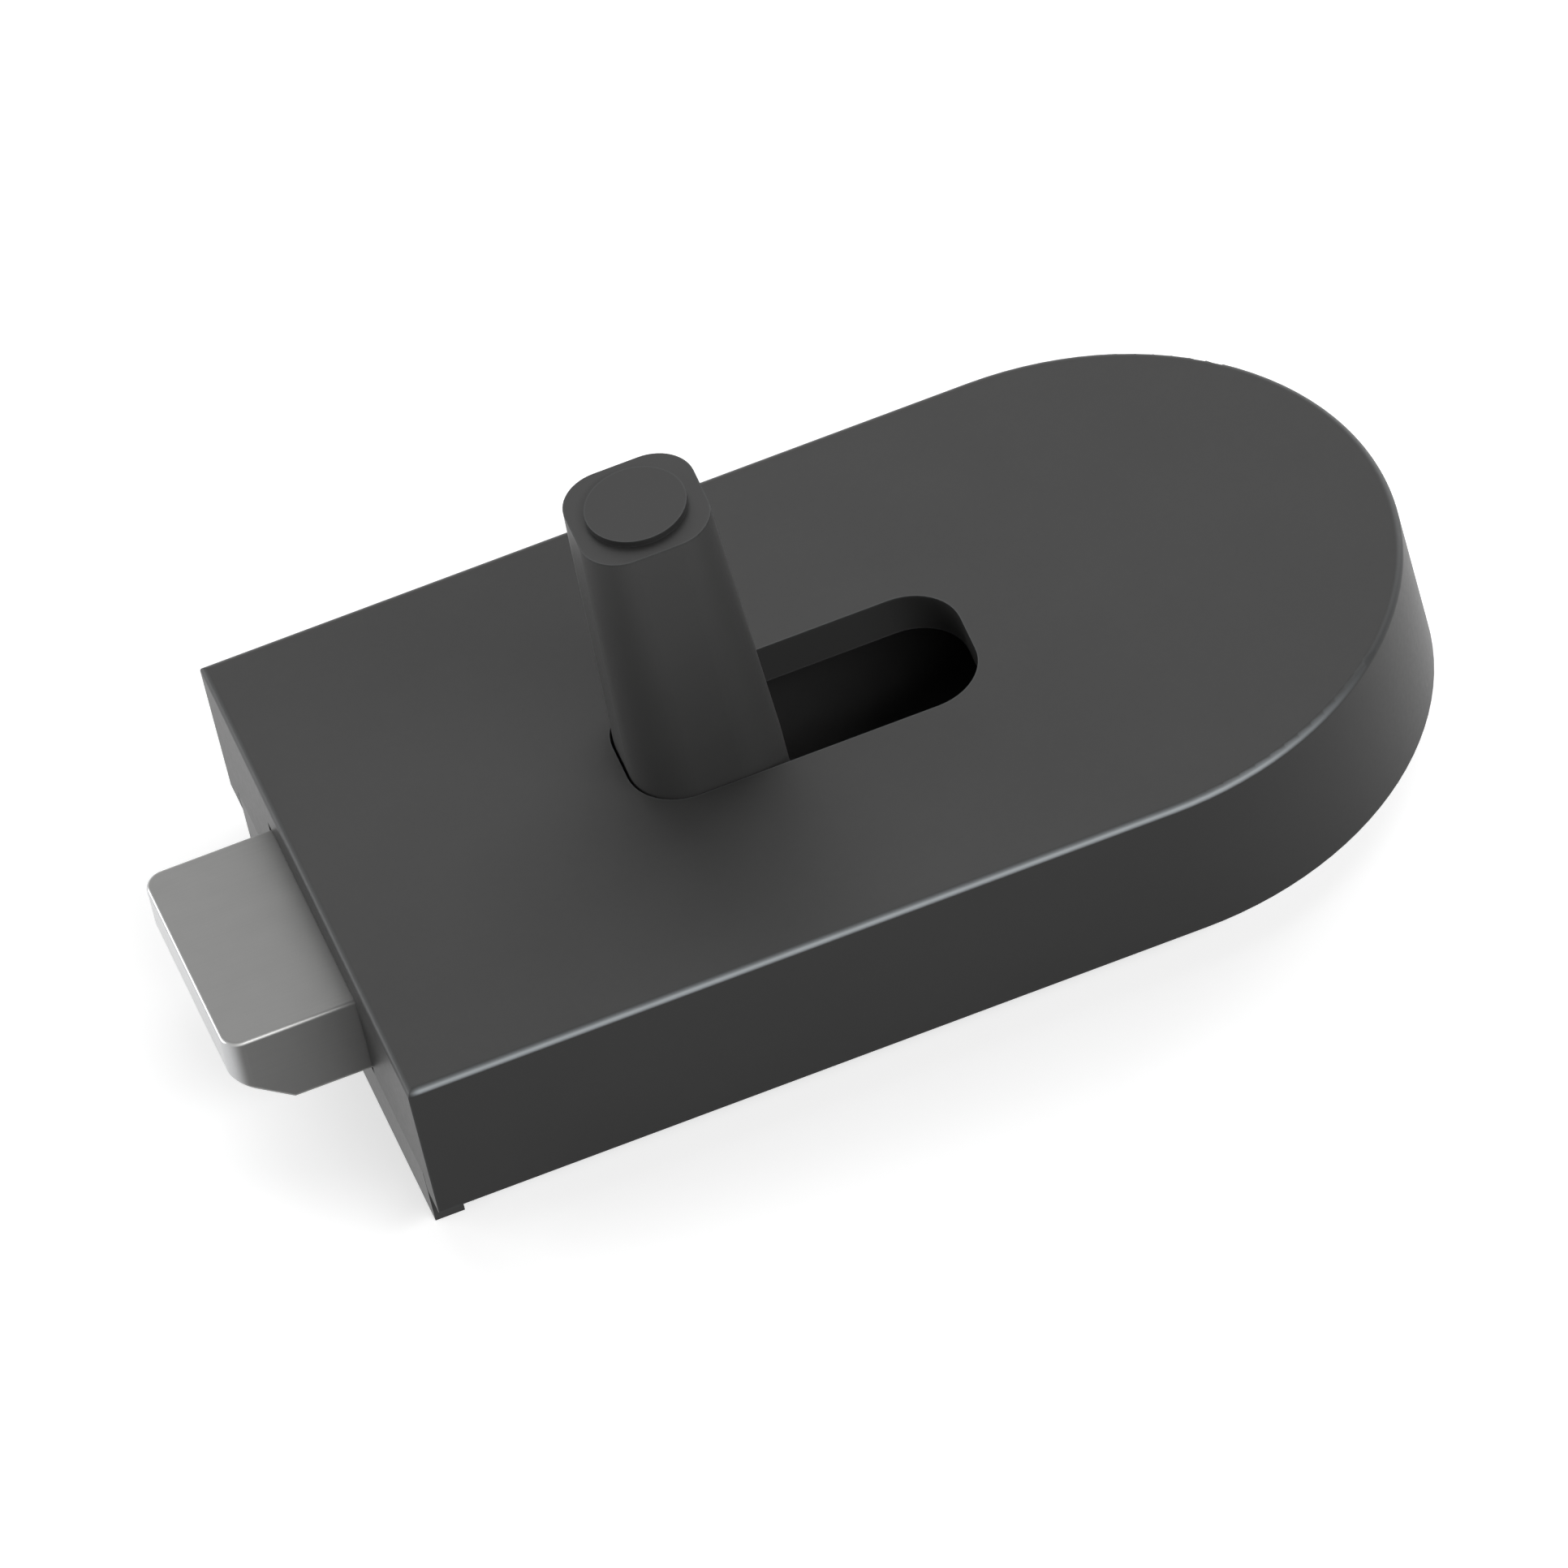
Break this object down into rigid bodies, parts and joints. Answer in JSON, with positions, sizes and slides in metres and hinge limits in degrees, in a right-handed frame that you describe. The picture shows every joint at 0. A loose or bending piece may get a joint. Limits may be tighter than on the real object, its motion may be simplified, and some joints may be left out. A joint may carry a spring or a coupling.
{
  "type": "sliding bolt",
  "caption": "Spring-return sliding bolt: flat cover with one round end, bevelled steel bolt, tapered finger knob in a slot, and a base plate with a hooked lip.",
  "frame": {"origin": "on the mounting face, the underside of the base plate, at the middle of the four mounting threads", "axes": "+X from the bolt's end towards the round end, so the bolt comes out towards -X; +Y towards the right-hand side seen from the knob looking along the bolt's way out; +Z from the door up through the cover to the knob"},
  "size_m": [0.0864, 0.045, 0.0366],
  "materials": {
    "cover_plastic": "satin dark grey glass-filled nylon",
    "knob_plastic": "satin dark grey nylon",
    "plate_black": "dark grey powder coat on steel",
    "guide_plastic": "black acetal",
    "bolt_steel": "satin ground steel",
    "rod_steel": "ground steel",
    "spring_steel": "drawn spring wire",
    "zinc_steel": "zinc-plated steel",
    "screw_black": "black oxide steel",
    "sleeve_brass": "turned brass",
    "buffer_rubber": "black rubber"
  },
  "bodies": {
    "housing": {"cover": "cover_plastic", "base_plate": "plate_black", "mounting_bushes": "zinc_steel", "cover_screws": "zinc_steel", "front_guide": "guide_plastic", "rear_block": "guide_plastic", "left_guide_rod": "rod_steel", "right_guide_rod": "rod_steel", "left_buffer": "buffer_rubber", "right_buffer": "buffer_rubber", "left_spring": "spring_steel", "right_spring": "spring_steel", "spring_washers": "zinc_steel"},
    "slider": {"bolt": "bolt_steel", "carrier": "guide_plastic", "carrier_dowels": "rod_steel", "knob": "knob_plastic", "knob_sleeve": "sleeve_brass", "knob_screw": "screw_black", "knob_cap": "knob_plastic"}
  },
  "joints": [
    {"name": "bolt_slide", "type": "slide", "parent": "housing", "child": "slider", "axis": [1, 0, 0], "range_m": [0, 0.0138], "stiffness_N_per_m": 1100, "springref_m": -0.005, "deforming": ["left_spring", "right_spring"]}
  ]
}
